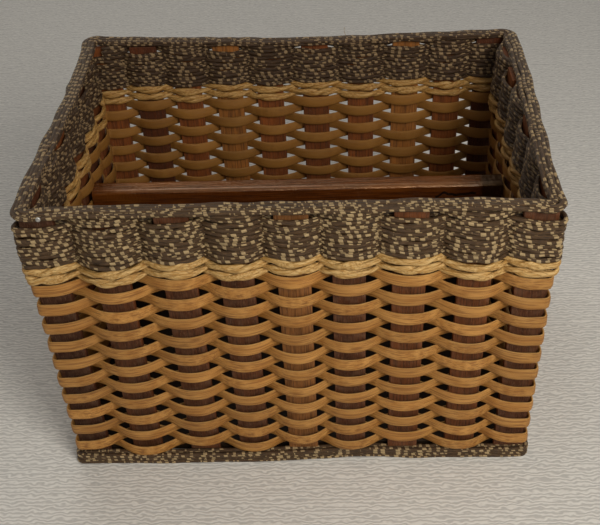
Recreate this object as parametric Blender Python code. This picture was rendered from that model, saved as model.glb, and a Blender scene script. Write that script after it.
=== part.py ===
# A rectangular splint basket: flat wooden stakes, plain-woven flat reed in one climbing spiral,
# four turns of light rope, a band of dark twine, rims of the same twine, and a wooden cross bar inside.
# Metres, +Z up, +X to the right, +Y to the back. The origin lies under the middle of the foot border.
import math

import bmesh
import bpy
from mathutils import Matrix, Vector

# Overall size in plan, over the outermost reeds
basket_length = 0.403
basket_depth = 0.288

# Gap between pieces that touch, and between two ends that butt
touch_gap = 0.0003
butt_gap = 0.0005

# Upright stakes. An odd number in all lets one weaver climb in a spiral and still alternate
stake_width = 0.0254
stake_thickness = 0.0060
front_stakes = 9
side_stakes = 6
back_stakes = 10
side_end_share = 0.8
stake_foot = 0.0010

# How far each stake of the long walls stands on from its even place, as a share of the wall's pitch
front_shift_shares = (0, 0.04, 0.16, 0.12, 0.07, -0.02, -0.03, 0.05, 0)
back_shift_shares = (0, -0.07, -0.07, -0.02, 0.05, 0.14, 0.12, 0.11, 0.06, 0)

# Flat oval reed, over one stake and under the next
reed_width = 0.0092
reed_thickness = 0.0022
reed_rows = 20
row_gap = 0.0008
reed_swing = 0.0072

# Light twisted rope above the reed
rope_depth = 0.0046
rope_height = 0.0035
rope_turns = 4
rope_turn_gap = 0.00045
edge_wrap_room = 0.0006

# Dark twine: the band, the single course above it, the rim border and the foot border
band_height = 0.0340
band_bulge = 0.0083
band_neck = 0.0040
band_flat_share = 0.75
band_corner = 0.0050
band_corner_inset = 0.0010
course_height = 0.0056
course_thickness = 0.0026
course_swing = 0.0070
rim_height = 0.0056
rim_width = 0.0100
rim_inset = 0.0020
rim_corner = 0.0050
rim_round = 0.0018
foot_height = 0.0110
foot_corner = 0.0045
foot_round = 0.0016
foot_to_reed = 0.0007

# Base panel
panel_thickness = 0.0080
panel_lift = 0.0025
panel_edge = 0.0006

# Cross bar, held at each end by one screw through a side stake
bar_height = 0.0380
bar_thickness = 0.0180
bar_round = 0.0040
bar_row = 15
bar_stake = 3

# Countersunk screw
screw_length = 0.0300
screw_shank = 0.0034
screw_head = 0.0066
screw_head_depth = 0.0018
screw_tip = 0.0030
screw_point_share = 0.33

# Length by which a cutter runs past what it cuts
overrun = 0.005

corner_steps = 4
round_steps = 16

# Worked out from the sizes above
half_stake = stake_width / 2
half_thick = stake_thickness / 2
wall_x = basket_length / 2 - band_bulge
wall_y = basket_depth / 2 - band_bulge
stake_edge = basket_length / 2 - rope_depth - 2 * touch_gap - edge_wrap_room
corner_stake = stake_edge - half_stake
front_pitch = 2 * corner_stake / (front_stakes - 1)
back_pitch = 2 * corner_stake / (back_stakes - 1)
side_pitch = 2 * wall_y / (side_stakes - 1 + 2 * side_end_share)
stake_count = front_stakes + back_stakes + 2 * side_stakes
climb_from = stake_count - side_stakes
row_pitch = reed_width + row_gap
first_row = foot_height + foot_to_reed + reed_width / 2
rope_pitch = rope_height + rope_turn_gap
first_rope = first_row + (reed_rows - 1) * row_pitch + reed_width / 2 + touch_gap + rope_height / 2
band_bottom = first_rope + (rope_turns - 1) * rope_pitch + rope_height / 2 + touch_gap
band_top = band_bottom + band_height
course_bottom = band_top + touch_gap
stake_top = course_bottom + course_height + touch_gap
rim_bottom = stake_top + touch_gap
rim_top = rim_bottom + rim_height
panel_top = panel_lift + panel_thickness

dark_twine = ("dark_twine", (0.075, 0.052, 0.038), 0.75, 0.0)
light_rope = ("light_rope", (0.54, 0.36, 0.15), 0.55, 0.0)
reed_tan = ("reed_tan", (0.46, 0.24, 0.07), 0.45, 0.0)
stake_brown = ("stake_brown", (0.115, 0.040, 0.018), 0.60, 0.0)
base_wood = ("base_wood", (0.30, 0.15, 0.055), 0.65, 0.0)
bar_varnish = ("bar_varnish", (0.125, 0.036, 0.011), 0.28, 0.0)
screw_steel = ("screw_steel", (0.55, 0.54, 0.52), 0.35, 1.0)


# Objects and materials

def clear_scene():
    for old in list(bpy.data.objects):
        bpy.data.objects.remove(old, do_unlink=True)


def surface(finish):
    name, colour, roughness, metallic = finish
    known = bpy.data.materials.get(name)
    if known:
        return known
    made = bpy.data.materials.new(name)
    made.use_nodes = True
    shader = made.node_tree.nodes["Principled BSDF"]
    shader.inputs["Base Color"].default_value = (*colour, 1)
    shader.inputs["Roughness"].default_value = roughness
    shader.inputs["Metallic"].default_value = metallic
    return made


def add_object(name, mesh, finish):
    made = bpy.data.objects.new(name, mesh)
    bpy.context.scene.collection.objects.link(made)
    if finish and not mesh.materials:
        mesh.materials.append(surface(finish))
    return made


def as_mesh(name, shape):
    bmesh.ops.recalc_face_normals(shape, faces=shape.faces)
    mesh = bpy.data.meshes.new(name)
    shape.to_mesh(mesh)
    shape.free()
    return mesh


def hide_cutter(cutter):
    cutter.hide_render = True
    cutter.display_type = "WIRE"


def cut(target, cutter):
    hide_cutter(cutter)
    step = target.modifiers.new("cut_" + cutter.name, "BOOLEAN")
    step.operation = "DIFFERENCE"
    step.solver = "EXACT"
    step.object = cutter


# Shapes

def block_mesh(name, low, high):
    shape = bmesh.new()
    bmesh.ops.create_cube(shape, size=1)
    size = Vector(high) - Vector(low)
    middle = (Vector(high) + Vector(low)) / 2
    bmesh.ops.scale(shape, vec=size, verts=shape.verts)
    bmesh.ops.translate(shape, vec=middle, verts=shape.verts)
    return as_mesh(name, shape)


def plan_loop(half_x, half_y, radius):
    # A rounded rectangle, counter-clockwise
    points = []
    for quarter, (sx, sy) in enumerate(((1, 1), (-1, 1), (-1, -1), (1, -1))):
        centre = Vector((sx * (half_x - radius), sy * (half_y - radius)))
        for step in range(corner_steps + 1):
            turn = (quarter + step / corner_steps) * math.pi / 2
            points.append(centre + radius * Vector((math.cos(turn), math.sin(turn))))
    return points


def extruded(name, outline, low, high):
    shape = bmesh.new()
    face = shape.faces.new([shape.verts.new((x, y, low)) for x, y in outline])
    grown = bmesh.ops.extrude_face_region(shape, geom=[face])
    lifted = [part for part in grown["geom"] if isinstance(part, bmesh.types.BMVert)]
    bmesh.ops.translate(shape, vec=(0, 0, high - low), verts=lifted)
    return as_mesh(name, shape)


def round_upper_edges(mesh, top, width):
    shape = bmesh.new()
    shape.from_mesh(mesh)
    near = touch_gap / 2
    edges = [edge for edge in shape.edges if all(abs(vert.co.z - top) < near for vert in edge.verts)]
    bmesh.ops.bevel(shape, geom=edges, offset=width, segments=2, profile=0.5, affect="EDGES")
    shape.to_mesh(mesh)
    shape.free()


def turned(name, profile):
    # Turned about X. The profile lists (x, radius) from one end to the other
    shape = bmesh.new()
    rings = []
    for x, radius in profile:
        ring = []
        for step in range(round_steps):
            turn = 2 * math.pi * step / round_steps
            ring.append(shape.verts.new((x, radius * math.cos(turn), radius * math.sin(turn))))
        rings.append(ring)
    for one, two in zip(rings, rings[1:]):
        for step in range(round_steps):
            nxt = (step + 1) % round_steps
            shape.faces.new((one[step], one[nxt], two[nxt], two[step]))
    shape.faces.new(rings[0])
    shape.faces.new(reversed(rings[-1]))
    return as_mesh(name, shape)


def strip_mesh(name, route, depth, height):
    # A flat strip standing on edge along the route, mitred where the route turns
    shape = bmesh.new()
    rings = []
    last = len(route) - 1
    for place, point in enumerate(route):
        before = (point - route[max(place - 1, 0)]).xy
        after = (route[min(place + 1, last)] - point).xy
        before = before.normalized() if place else after.normalized()
        after = after.normalized() if place < last else before
        along = (before + after).normalized()
        across = Vector((along.y, -along.x)) / along.dot(after)
        ring = []
        for side, level in ((1, -1), (-1, -1), (-1, 1), (1, 1)):
            shift = across * (side * depth / 2)
            ring.append(shape.verts.new(point + Vector((shift.x, shift.y, level * height / 2))))
        rings.append(ring)
    for one, two in zip(rings, rings[1:]):
        for corner in range(4):
            nxt = (corner + 1) % 4
            shape.faces.new((one[corner], one[nxt], two[nxt], two[corner]))
    shape.faces.new(rings[0])
    shape.faces.new(rings[-1])
    return as_mesh(name, shape)


# The stakes' places, in weaving order: front, right, back, left

def steps_along(count, first_share, pitch, shift_shares):
    # Distance of each stake from the wall's start, and the gaps to its neighbours before and after
    shifts = (*shift_shares, *[0] * (count - len(shift_shares)))[:count]
    marks = [(first_share + number + shift) * pitch for number, shift in enumerate(shifts)]
    gaps = [pitch] + [two - one for one, two in zip(marks, marks[1:])] + [pitch]
    return list(zip(marks, gaps, gaps[1:]))


def stake_places():
    walls = (
        ("front", Vector((-corner_stake, -wall_y)), Vector((1, 0)),
         steps_along(front_stakes, 0, front_pitch, front_shift_shares)),
        ("right", Vector((wall_x, -wall_y)), Vector((0, 1)),
         steps_along(side_stakes, side_end_share, side_pitch, ())),
        ("back", Vector((corner_stake, wall_y)), Vector((-1, 0)),
         steps_along(back_stakes, 0, back_pitch, back_shift_shares)),
        ("left", Vector((-wall_x, wall_y)), Vector((0, -1)),
         steps_along(side_stakes, side_end_share, side_pitch, ())))
    places = []
    for wall, start, along, steps in walls:
        for number, (mark, before, after) in enumerate(steps):
            places.append((wall, number + 1, start + along * mark, along, before, after))
    return places


places = stake_places()
corner_numbers = (0, front_stakes - 1, front_stakes + side_stakes, climb_from - 1)


def outward(number):
    along = places[number % stake_count][3]
    return Vector((along.y, -along.x))


def side_sign(count):
    # A weaver lies outside the stakes that it meets at odd counts, and inside the others
    return 1 if count % 2 else -1


def turn_level(turn):
    if turn < reed_rows:
        return first_row + turn * row_pitch
    return first_rope + (turn - reed_rows) * rope_pitch


def spiral_level(count):
    # Level round three walls, then climbing one turn's height along the left wall
    turn, number = divmod(count, stake_count)
    share = min(max((number - climb_from) / (stake_count - climb_from), 0), 1)
    return turn_level(turn) + share * (turn_level(turn + 1) - turn_level(turn))


def flat_half(pitch, swing, depth):
    # Half the stretch that lies flat over a stake, so that the slope beyond clears the stake's edge
    room = pitch / 2 - half_stake
    reach = math.hypot(room, half_thick)
    slope = math.atan2(half_thick, room) + math.asin(min((depth / 2 + touch_gap) / reach, 1))
    return pitch / 2 - swing / math.tan(slope)


def corner_points(number, swing, depth):
    # Round the outer edge of a corner stake, from its own wall to the side wall
    centre = places[number][2]
    sx = math.copysign(1, centre.x)
    sy = math.copysign(1, centre.y)
    clear = depth / 2 + touch_gap
    x = stake_edge + clear + touch_gap
    ease = x - stake_edge + swing - half_thick - math.sqrt(2) * clear
    outer = wall_y + swing
    leave = wall_y - half_thick - clear
    plan = ((x - ease, outer), (x, outer - ease), (x, leave))
    return [Vector((sx * px, sy * py)) for px, py in plan]


def weave_route(start, end, swing, depth, level):
    # From the middle of stake start to the middle of stake end, counted on through the turns
    route = []
    for count in range(start, end + 1):
        number = count % stake_count
        centre, along, before, after = places[number][2:]
        shift = outward(number) * (side_sign(count) * swing)
        first_half = flat_half(before, swing, depth)
        last_half = flat_half(after, swing, depth)
        begin = centre + shift - along * first_half
        finish = centre + shift + along * last_half
        if count == start:
            begin = centre + shift + along * (butt_gap / 2)
        if count == end:
            finish = centre + shift - along * (butt_gap / 2)
        points = [(begin, count - first_half / before), (finish, count + last_half / after)]
        if side_sign(count) > 0 and number in corner_numbers:
            bend = corner_points(number, swing, depth)
            if number in (front_stakes - 1, climb_from - 1):
                points = [points[0]] + [(point, count + 0.5) for point in bend]
            else:
                points = [(point, count - 0.5) for point in reversed(bend)] + [points[1]]
        route += [Vector((point.x, point.y, level(step))) for point, step in points]
    return route


# The sub-parts

def bar_centre_y():
    return places[front_stakes + bar_stake][2].y


def screw_level(number):
    # The row that lies outside this stake hides the head and leaves the inner side open
    row = bar_row if side_sign(bar_row * stake_count + number) > 0 else bar_row - 1
    return spiral_level(row * stake_count + number)


def bar_level():
    return spiral_level(bar_row * stake_count + front_stakes + bar_stake)


def screw_profile(clearance):
    # From the point, inside the bar, to the flush head in the stake's outer face
    head = screw_head / 2 + clearance
    shank = screw_shank / 2 + clearance
    point = half_thick - screw_length - clearance
    neck = half_thick - screw_head_depth
    return [(point, shank * screw_point_share), (point + screw_tip, shank), (neck, shank), (half_thick, head)]


def add_screw(name, number):
    screw = add_object(name, turned(name, screw_profile(0)), screw_steel)
    centre = places[number][2]
    screw.location = (centre.x, centre.y, screw_level(number))
    screw.rotation_euler = (0, 0, 0 if centre.x > 0 else math.pi)
    screw.data.shade_smooth()
    screw.data.set_sharp_from_angle(angle=math.radians(30))
    profile = screw_profile(touch_gap)
    profile.append((half_thick + overrun, profile[-1][1]))
    bore = add_object(name + "_bore", turned(name + "_bore", profile), None)
    bore.matrix_world = Matrix.LocRotScale(screw.location, screw.rotation_euler, None)
    return bore


def add_stakes(bores):
    slat = block_mesh("stake_slat", (-half_stake, -half_thick, stake_foot), (half_stake, half_thick, stake_top))
    for number, (wall, count, centre, along, before, after) in enumerate(places):
        mesh = slat.copy() if number in bores else slat
        stake = add_object(f"{wall}_stake_{count}", mesh, stake_brown)
        stake.location = (centre.x, centre.y, 0)
        stake.rotation_euler = (0, 0, math.atan2(along.y, along.x))
        if number in bores:
            cut(stake, bores[number])


def add_reed_rows():
    # Each row is one reed, whose ends butt behind a stake at the left front corner
    seams = [turn * stake_count - turn % 2 for turn in range(reed_rows)]
    seams.append((reed_rows - 1) * stake_count + climb_from)
    for row, (start, end) in enumerate(zip(seams, seams[1:])):
        route = weave_route(start, end, reed_swing, reed_thickness, spiral_level)
        name = f"reed_row_{row + 1:02d}"
        add_object(name, strip_mesh(name, route, reed_thickness, reed_width), reed_tan)


def add_light_rope():
    start = (reed_rows - 1) * stake_count + climb_from
    swing = half_thick + touch_gap + rope_depth / 2
    route = weave_route(start, start + rope_turns * stake_count, swing, rope_depth, spiral_level)
    add_object("light_rope", strip_mesh("light_rope", route, rope_depth, rope_height), light_rope)


def band_outline(side):
    # Side +1 gives the outer face and -1 the inner: a bulge at each stake, a neck between stakes
    outline = []
    neck = band_neck / 2
    half = half_stake * band_flat_share
    for number, (wall, count, centre, along, before, after) in enumerate(places):
        shift = outward(number) * (side * band_bulge)
        ahead = number in (front_stakes - 1, climb_from - 1)
        behind = number in (0, front_stakes + side_stakes)
        points = [centre + shift - along * half, centre + shift + along * half]
        if ahead or behind:
            sx = math.copysign(1, centre.x)
            sy = math.copysign(1, centre.y)
            first_side = wall_y - side_end_share * side_pitch + half_stake
            neck_y = (wall_y - half_thick + first_side) / 2
            bend = [Vector((sx * (wall_x + side * neck), sy * neck_y))]
            if side > 0:
                far = basket_length / 2 - band_corner_inset
                bend = [Vector((sx * (far - band_corner), sy * (wall_y + band_bulge))),
                        Vector((sx * far, sy * (wall_y + band_bulge - band_corner)))] + bend
                points = [points[0]] + bend if ahead else bend[::-1] + [points[1]]
            else:
                inner = Vector((sx * (corner_stake + neck / 2), points[0].y))
                points = [points[0], inner] + bend if ahead else bend + [inner, points[1]]
        following = places[(number + 1) % stake_count]
        if following[0] == wall:
            between = (centre + following[2]) / 2 + outward(number) * (side * neck)
            points.append(between)
        outline += points
    return outline


def add_dark_band():
    band = add_object("dark_twine_band", extruded("dark_twine_band", band_outline(1), band_bottom, band_top),
                      dark_twine)
    inside = extruded("band_inside", band_outline(-1), band_bottom - overrun, band_top + overrun)
    cut(band, add_object("band_inside", inside, None))
    slots = bmesh.new()
    reach = Vector((half_stake + touch_gap, half_thick + touch_gap, band_height / 2 + overrun))
    for wall, count, centre, along, before, after in places:
        slot = block_mesh("slot", -reach, reach)
        turn = Matrix.Rotation(math.atan2(along.y, along.x), 4, "Z")
        slot.transform(Matrix.Translation((centre.x, centre.y, (band_bottom + band_top) / 2)) @ turn)
        slots.from_mesh(slot)
        bpy.data.meshes.remove(slot)
    cut(band, add_object("band_slots", as_mesh("band_slots", slots), None))


def add_top_course():
    # One open turn of twine, with both ends inside the wall at the left back corner
    start = stake_count + climb_from
    middle = course_bottom + course_height / 2
    route = weave_route(start, start + stake_count - 1, course_swing, course_thickness, lambda step: middle)
    mesh = strip_mesh("top_twine_course", route, course_thickness, course_height)
    add_object("top_twine_course", mesh, dark_twine)


def add_border(name, half_x, half_y, width_x, width_y, corner, inner_corner, low, high, rounding):
    mesh = extruded(name, plan_loop(half_x, half_y, corner), low, high)
    border = add_object(name, mesh, dark_twine)
    if inner_corner:
        hole = extruded(name + "_hole", plan_loop(half_x - width_x, half_y - width_y, inner_corner),
                        low - overrun, high + overrun)
    else:
        reach = (half_x - width_x, half_y - width_y)
        hole = block_mesh(name + "_hole", (-reach[0], -reach[1], low - overrun), (*reach, high + overrun))
    round_upper_edges(mesh, high, rounding)
    cut(border, add_object(name + "_hole", hole, None))
    return border


def add_rims():
    outer_x = basket_length / 2 - rim_inset
    outer_y = basket_depth / 2 - rim_inset
    rim = add_border("rim_border", outer_x, outer_y, rim_width, rim_width, rim_corner, rim_corner / 2,
                     rim_bottom, rim_top, rim_round)
    soften = rim.modifiers.new("soften", "BEVEL")
    soften.width = rim_round
    soften.segments = 1
    soften.limit_method = "ANGLE"
    soften.angle_limit = math.radians(60)
    inner_x = wall_x + half_thick + touch_gap
    inner_y = wall_y + half_thick + touch_gap
    add_border("foot_border", basket_length / 2, basket_depth / 2, basket_length / 2 - inner_x,
               basket_depth / 2 - inner_y, foot_corner, 0, 0, foot_height, foot_round)


def add_base_panel():
    reach_x = wall_x - half_thick - touch_gap
    reach_y = wall_y - half_thick - touch_gap
    panel = add_object("base_panel", block_mesh("base_panel", (-reach_x, -reach_y, panel_lift),
                                                (reach_x, reach_y, panel_top)), base_wood)
    edge = panel.modifiers.new("eased_edges", "BEVEL")
    edge.width = panel_edge
    edge.segments = 1


def add_cross_bar(bores):
    reach = wall_x - max(reed_swing + reed_thickness / 2, half_thick) - touch_gap
    shape = bmesh.new()
    bmesh.ops.create_cube(shape, size=1)
    bmesh.ops.scale(shape, vec=(2 * reach, bar_thickness, bar_height), verts=shape.verts)
    long_edges = [edge for edge in shape.edges if abs(edge.verts[0].co.x - edge.verts[1].co.x) > reach]
    bmesh.ops.bevel(shape, geom=long_edges, offset=bar_round, segments=4, profile=0.5, affect="EDGES")
    bar = add_object("cross_bar", as_mesh("cross_bar", shape), bar_varnish)
    bar.location = (0, bar_centre_y(), bar_level())
    bar.data.shade_smooth()
    bar.data.set_sharp_from_angle(angle=math.radians(40))
    for bore in bores:
        cut(bar, bore)


def build():
    clear_scene()
    right_number = front_stakes + bar_stake
    left_number = stake_count - 1 - bar_stake
    bores = {right_number: add_screw("right_bar_screw", right_number),
             left_number: add_screw("left_bar_screw", left_number)}
    add_stakes(bores)
    add_reed_rows()
    add_light_rope()
    add_dark_band()
    add_top_course()
    add_rims()
    add_base_panel()
    add_cross_bar(bores.values())


build()
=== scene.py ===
import math

import bpy
import numpy as np
from mathutils import Matrix, Vector


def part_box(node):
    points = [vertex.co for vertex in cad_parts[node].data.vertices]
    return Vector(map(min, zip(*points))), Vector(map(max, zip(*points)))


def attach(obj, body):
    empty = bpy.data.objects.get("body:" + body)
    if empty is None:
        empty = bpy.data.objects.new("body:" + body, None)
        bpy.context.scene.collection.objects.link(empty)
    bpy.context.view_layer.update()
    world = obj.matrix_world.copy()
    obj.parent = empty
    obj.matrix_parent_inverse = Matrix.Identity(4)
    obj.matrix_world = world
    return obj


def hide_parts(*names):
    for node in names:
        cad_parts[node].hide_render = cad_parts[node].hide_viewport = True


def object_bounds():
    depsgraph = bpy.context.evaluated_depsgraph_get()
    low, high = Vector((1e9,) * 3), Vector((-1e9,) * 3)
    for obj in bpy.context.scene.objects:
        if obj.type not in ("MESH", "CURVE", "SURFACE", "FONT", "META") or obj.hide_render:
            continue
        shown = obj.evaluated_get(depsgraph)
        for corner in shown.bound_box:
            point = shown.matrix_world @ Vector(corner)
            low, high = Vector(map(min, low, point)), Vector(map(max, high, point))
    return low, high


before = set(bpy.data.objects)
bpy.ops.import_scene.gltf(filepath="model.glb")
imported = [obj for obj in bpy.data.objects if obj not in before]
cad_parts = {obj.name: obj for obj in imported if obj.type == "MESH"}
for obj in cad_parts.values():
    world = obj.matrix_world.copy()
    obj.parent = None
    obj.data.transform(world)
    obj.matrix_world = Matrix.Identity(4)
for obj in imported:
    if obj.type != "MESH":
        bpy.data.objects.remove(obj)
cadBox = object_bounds()
scene = bpy.context.scene
bpy.ops.object.select_all(action="DESELECT")
print("frame loaded:", len(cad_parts), "pieces")


# The camera, at the photograph's place
cameraSettings = {
    "place": (0.0362, -0.6892, 0.6671),
    "turnedRight": -2.911,  # degrees
    "lookingDown": 38.967,
    "roll": 2.928,
    "focalPixels": 947.9,
    "photoWidth": 600,
    "sensor": 36.0,
}


def placeCamera(settings):
    turn = math.radians(settings["turnedRight"])
    down = math.radians(settings["lookingDown"])
    roll = math.radians(settings["roll"])
    forward = Vector((math.sin(turn) * math.cos(down), math.cos(turn) * math.cos(down), -math.sin(down)))
    level = Vector((math.cos(turn), -math.sin(turn), 0))
    below = forward.cross(level)
    right = level * math.cos(roll) + below * math.sin(roll)
    lower = below * math.cos(roll) - level * math.sin(roll)
    data = bpy.data.cameras.new("photoCamera")
    data.sensor_fit = "HORIZONTAL"
    data.sensor_width = settings["sensor"]
    data.lens = settings["focalPixels"] / settings["photoWidth"] * settings["sensor"]
    data.clip_start = 0.02
    camera = bpy.data.objects.new("photoCamera", data)
    axes = Matrix((right, -lower, -forward)).transposed()
    camera.matrix_world = Matrix.Translation(settings["place"]) @ axes.to_4x4()
    scene.collection.objects.link(camera)
    scene.camera = camera


placeCamera(cameraSettings)
scene.view_settings.view_transform = "Standard"
print("camera placed")


# Node helpers
def addNode(tree, kind, sockets=None, **settings):
    node = tree.nodes.new("ShaderNode" + kind)
    for name, value in settings.items():
        setattr(node, name, value)
    for name, value in (sockets or {}).items():
        if isinstance(value, bpy.types.NodeSocket):
            tree.links.new(value, node.inputs[name])
        else:
            node.inputs[name].default_value = value
    return node


def mixColour(tree, share, one, two, blend="MIX"):
    colours = [(*value, 1) if isinstance(value, tuple) else value for value in (one, two)]
    node = addNode(tree, "Mix", {0: share, 6: colours[0], 7: colours[1]}, data_type="RGBA", blend_type=blend)
    return node.outputs[2]


def calculate(tree, operation, one, two=0.0):
    return addNode(tree, "Math", {0: one, 1: two}, operation=operation).outputs[0]


def add(tree, one, two):
    return calculate(tree, "ADD", one, two)


def subtract(tree, one, two):
    return calculate(tree, "SUBTRACT", one, two)


def multiply(tree, one, two):
    return calculate(tree, "MULTIPLY", one, two)


def apart(tree, one, two):
    return calculate(tree, "ABSOLUTE", subtract(tree, one, two))


def remap(tree, value, low, high, newLow=0.0, newHigh=1.0):
    sockets = {"Value": value, "From Min": low, "From Max": high, "To Min": newLow, "To Max": newHigh}
    return addNode(tree, "MapRange", sockets).outputs[0]


def objectPlace(tree):
    return addNode(tree, "TexCoord").outputs["Object"]


def split(tree, place):
    return addNode(tree, "SeparateXYZ", {0: place}).outputs


def join(tree, *parts):
    return addNode(tree, "CombineXYZ", dict(enumerate(parts))).outputs[0]


def stretch(tree, place, scale, shift=(0.0, 0.0, 0.0)):
    return addNode(tree, "Mapping", {"Vector": place, "Scale": scale, "Location": shift}).outputs[0]


def speckle(tree, place, detail=3.0, roughness=0.55, scale=1.0):
    sockets = {"Vector": place, "Scale": scale, "Detail": detail, "Roughness": roughness}
    return addNode(tree, "TexNoise", sockets).outputs["Fac"]


def randomOf(tree, *parts):
    return addNode(tree, "TexWhiteNoise", {"Vector": join(tree, *parts)}).outputs


def shaded(tree, colour, shade):
    grey = addNode(tree, "CombineColor", {0: shade, 1: shade, 2: shade}).outputs[0]
    return mixColour(tree, 1.0, colour, grey, "MULTIPLY")


def makeGroup(name, inputs, outputs):
    # An input without a value is a place, and all else is a plain number
    tree = bpy.data.node_groups.new(name, "ShaderNodeTree")
    for label, value in inputs.items():
        kind = "NodeSocketVector" if value is None else "NodeSocketFloat"
        made = tree.interface.new_socket(label, in_out="INPUT", socket_type=kind)
        if value is not None:
            made.default_value = value
    for label in outputs:
        tree.interface.new_socket(label, in_out="OUTPUT", socket_type="NodeSocketFloat")
    return tree, tree.nodes.new("NodeGroupInput").outputs, tree.nodes.new("NodeGroupOutput").inputs


def useGroup(tree, group, sockets):
    return addNode(tree, "Group", sockets, node_tree=group).outputs


# Groups that several finishes share
frontShare = 0.25  # where the outer face lies on a strand's map, round the strand


fibreMarks = {  # how often the finer marks repeat against the streaks, along the strand and round it
    "fine": (1.6, 3.4, 1.0),
    "broad": (0.55, 0.10, 1.0),
    "broadShift": (3.0, 7.0, 0.0),
}


def makeFibreGroup(marks):
    # Long streaks that follow a strand: x runs along it in metres, y once round it
    inputs = {"Place": None, "Streak Length": 0.02, "Streaks Round": 12.0, "Seed": 0.0}
    tree, given, out = makeGroup("plantFibres", inputs, ("Streaks", "Patches", "Fine"))
    parts = split(tree, given["Place"])
    along = calculate(tree, "DIVIDE", parts[0], given["Streak Length"])
    spot = join(tree, along, multiply(tree, parts[1], given["Streaks Round"]), given["Seed"])
    fine = stretch(tree, spot, marks["fine"])
    broad = stretch(tree, spot, marks["broad"], marks["broadShift"])
    tree.links.new(speckle(tree, spot, detail=2.0), out["Streaks"])
    tree.links.new(speckle(tree, fine, detail=3.0, roughness=0.65), out["Fine"])
    tree.links.new(speckle(tree, broad, detail=2.0), out["Patches"])
    return tree


woodMarks = {  # detail, scale, and how long each mark is drawn along the grain
    "Grain": (4.0, 900.0, 0.045),
    "Pores": (2.0, 2600.0, 0.10),
    "Figure": (2.0, 75.0, 0.15),
}


def makeWoodGroup(marks):
    # Grain along the object's z, with pores and broad figure
    tree, given, out = makeGroup("woodGrain", {"Place": None, "Seed": 0.0}, tuple(marks))
    shift = join(tree, given["Seed"], given["Seed"], given["Seed"])
    spot = addNode(tree, "VectorMath", {0: given["Place"], 1: shift}, operation="ADD").outputs[0]
    for name, (detail, scale, along) in marks.items():
        drawn = stretch(tree, spot, (1.0, 1.0, along))
        tree.links.new(speckle(tree, drawn, detail=detail, scale=scale), out[name])
    return tree


fleckMarks = {
    "driftPace": 0.37,  # the cells slide slowly along the strand as it runs on
    "drift": 0.7,
    "rowShift": 0.6,  # and each row of cells by its own amount
    "slant": 0.10,
    "bareRings": 0.10,  # share of rings of cells without any fleck
    "bareCells": 0.22,  # share of single cells without one
    "lengths": (0.30, 0.52),
    "heightRamp": (0.2, 0.9, 0.50, 0.26),
    "softEnd": 0.02,
    "softSide": 0.03,
}


def makeFleckGroup(marks):
    # Tan blocks along a dyed strand: a row of cells along it, a few cells round it, some of them bare
    inputs = {"Place": None, "Spacing": 0.008, "Rows": 4.0, "Length": 0.5, "Seed": 0.0}
    tree, given, out = makeGroup("dyedFlecks", inputs, ("Flecks", "Worn"))
    parts, seed = split(tree, given["Place"]), given["Seed"]
    along = calculate(tree, "DIVIDE", parts[0], given["Spacing"])
    fromFront = subtract(tree, parts[1], frontShare)
    across = add(tree, multiply(tree, fromFront, given["Rows"]), 0.5)
    row = calculate(tree, "FLOOR", across)
    slow = join(tree, multiply(tree, along, marks["driftPace"]), seed)
    drift = multiply(tree, speckle(tree, slow, detail=1.0), marks["drift"])
    shift = multiply(tree, randomOf(tree, row, seed)["Value"], marks["rowShift"])
    slant = multiply(tree, calculate(tree, "FRACT", across), marks["slant"])
    line = add(tree, add(tree, along, drift), add(tree, shift, slant))
    cell = calculate(tree, "FLOOR", line)
    chances = randomOf(tree, cell, row, seed)
    ring = randomOf(tree, cell, seed, 7.0)["Value"]  # the same for every row
    present = multiply(tree, calculate(tree, "GREATER_THAN", ring, marks["bareRings"]),
                       calculate(tree, "GREATER_THAN", chances["Value"], marks["bareCells"]))
    size = split(tree, chances["Color"])
    half = multiply(tree, given["Length"], remap(tree, size[0], 0.0, 1.0, *marks["lengths"]))
    reach = apart(tree, calculate(tree, "FRACT", line), 0.5)
    inside = remap(tree, subtract(tree, half, reach), -marks["softEnd"], marks["softEnd"])
    height = remap(tree, size[1], *marks["heightRamp"])
    edge = apart(tree, calculate(tree, "FRACT", across), 0.5)
    within = remap(tree, subtract(tree, height, edge), -marks["softSide"], marks["softSide"])
    tree.links.new(multiply(tree, multiply(tree, inside, within), present), out["Flecks"])
    tree.links.new(chances["Value"], out["Worn"])
    return tree


fibreGroup = makeFibreGroup(fibreMarks)
fleckGroup = makeFleckGroup(fleckMarks)
woodGroup = makeWoodGroup(woodMarks)


def newMaterial(name, roughness=0.5, metallic=0.0, coat=0.0, coatRoughness=0.1, gloss=0.5):
    material = bpy.data.materials.new(name)
    material.use_nodes = True
    tree = material.node_tree
    shader = tree.nodes["Principled BSDF"]
    shader.inputs["Roughness"].default_value = roughness
    shader.inputs["Metallic"].default_value = metallic
    shader.inputs["Specular IOR Level"].default_value = gloss
    shader.inputs["Coat Weight"].default_value = coat
    shader.inputs["Coat Roughness"].default_value = coatRoughness
    return material, tree, shader


def strandPlace(tree):
    return addNode(tree, "UVMap", uv_map="strand").outputs[0]


def strandTone(tree):
    return addNode(tree, "Attribute", attribute_name="tone", attribute_type="GEOMETRY").outputs["Fac"]


def strandFibres(tree, settings, seed):
    sockets = {"Place": strandPlace(tree), "Streak Length": settings["streakLength"],
               "Streaks Round": settings["streaksRound"], "Seed": seed}
    return useGroup(tree, fibreGroup, sockets)


def outerSide(tree):
    # 1 on faces that look away from the middle of the basket, 0 on those that look towards it
    sockets = {0: objectPlace(tree), 1: (1.0, 1.0, 0.0)}
    flat = addNode(tree, "VectorMath", sockets, operation="MULTIPLY").outputs[0]
    sockets = {0: addNode(tree, "NewGeometry").outputs["Normal"], 1: flat}
    facing = addNode(tree, "VectorMath", sockets, operation="DOT_PRODUCT").outputs["Value"]
    return remap(tree, facing, -0.05, 0.05)


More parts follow.
